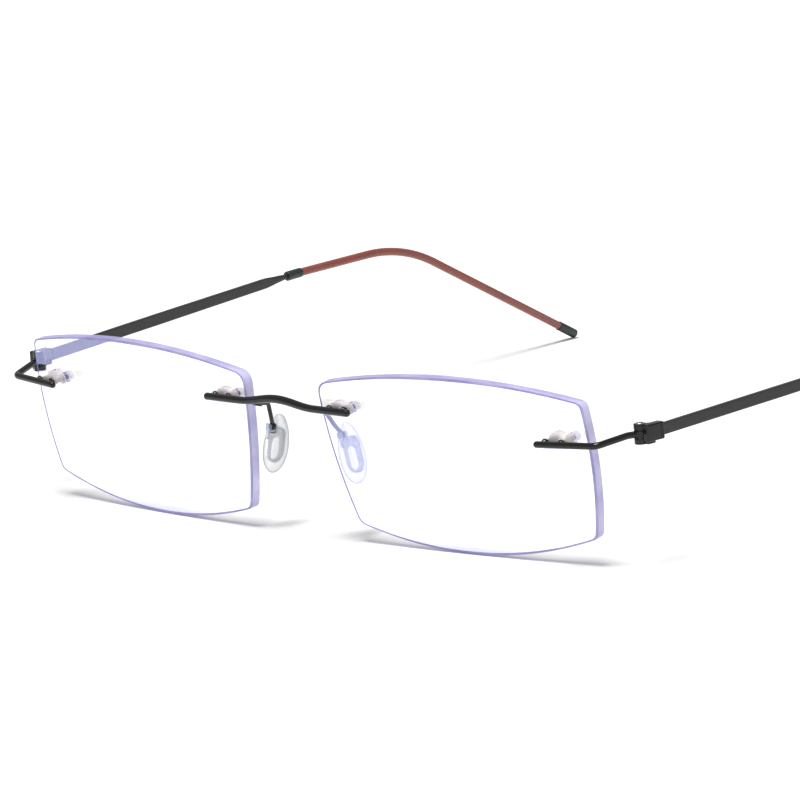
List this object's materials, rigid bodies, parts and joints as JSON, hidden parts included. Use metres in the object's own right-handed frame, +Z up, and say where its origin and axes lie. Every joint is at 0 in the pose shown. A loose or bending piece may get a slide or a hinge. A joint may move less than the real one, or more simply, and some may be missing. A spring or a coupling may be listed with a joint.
{
  "type": "rimless eyeglasses",
  "caption": "Rimless eyeglasses with clear drilled lenses, black wire bridge and endpieces, silicone nose pads and hinged temples with red-brown ear sleeves",
  "frame": {"origin": "centre of the bounding box in X and Y, at floor level, as the glasses stand open on their lenses and ear tips", "axes": "+X towards the wearer's left, +Y from the lenses towards the ears, +Z up"},
  "size_m": [0.1546, 0.147, 0.0295],
  "materials": {
    "lens": "clear polished resin demo lens with a lilac edge",
    "bush": "clear cream plastic",
    "enamel": "glossy black enamel on wire",
    "strip": "satin charcoal lacquer",
    "silicone": "clear silicone",
    "insert": "blue-grey plastic",
    "screw": "bright turned steel",
    "cap": "black moulded plastic",
    "sleeve": "red-brown translucent plastic tube"
  },
  "bodies": {
    "front": {"left_lens": "lens", "right_lens": "lens", "left_nasal_bush": "bush", "right_nasal_bush": "bush", "left_outer_bush": "bush", "right_outer_bush": "bush", "bridge_wire": "enamel", "left_endpiece": "enamel", "right_endpiece": "enamel", "left_pad_bracket": "enamel", "right_pad_bracket": "enamel", "left_pad_arm": "enamel", "right_pad_arm": "enamel"},
    "left_temple": {"left_hinge_clamp": "enamel", "left_hinge_screw": "screw", "left_temple_strip": "strip", "left_collar": "cap", "left_ear_sleeve": "sleeve", "left_end_cap": "cap"},
    "right_temple": {"right_hinge_clamp": "enamel", "right_hinge_screw": "screw", "right_temple_strip": "strip", "right_collar": "cap", "right_ear_sleeve": "sleeve", "right_end_cap": "cap"},
    "left_pad": {"left_nose_pad": "silicone", "left_pad_insert": "insert"},
    "right_pad": {"right_nose_pad": "silicone", "right_pad_insert": "insert"}
  },
  "joints": [
    {"name": "left_temple_hinge", "type": "hinge", "parent": "front", "child": "left_temple", "pos_m": [0.0693, -0.06083, 0.02153], "axis": [0, 0, 1], "range_deg": [0, 89]},
    {"name": "right_temple_hinge", "type": "hinge", "parent": "front", "child": "right_temple", "pos_m": [-0.0693, -0.06083, 0.02153], "axis": [0, 0, -1], "range_deg": [0, 93]},
    {"name": "left_pad_rock", "type": "hinge", "parent": "front", "child": "left_pad", "pos_m": [0.00793, -0.06667, 0.01695], "axis": [0, 1, 0], "range_deg": [-3, 8]},
    {"name": "right_pad_rock", "type": "hinge", "parent": "front", "child": "right_pad", "pos_m": [-0.00793, -0.06667, 0.01695], "axis": [0, -1, 0], "range_deg": [-3, 8]}
  ]
}
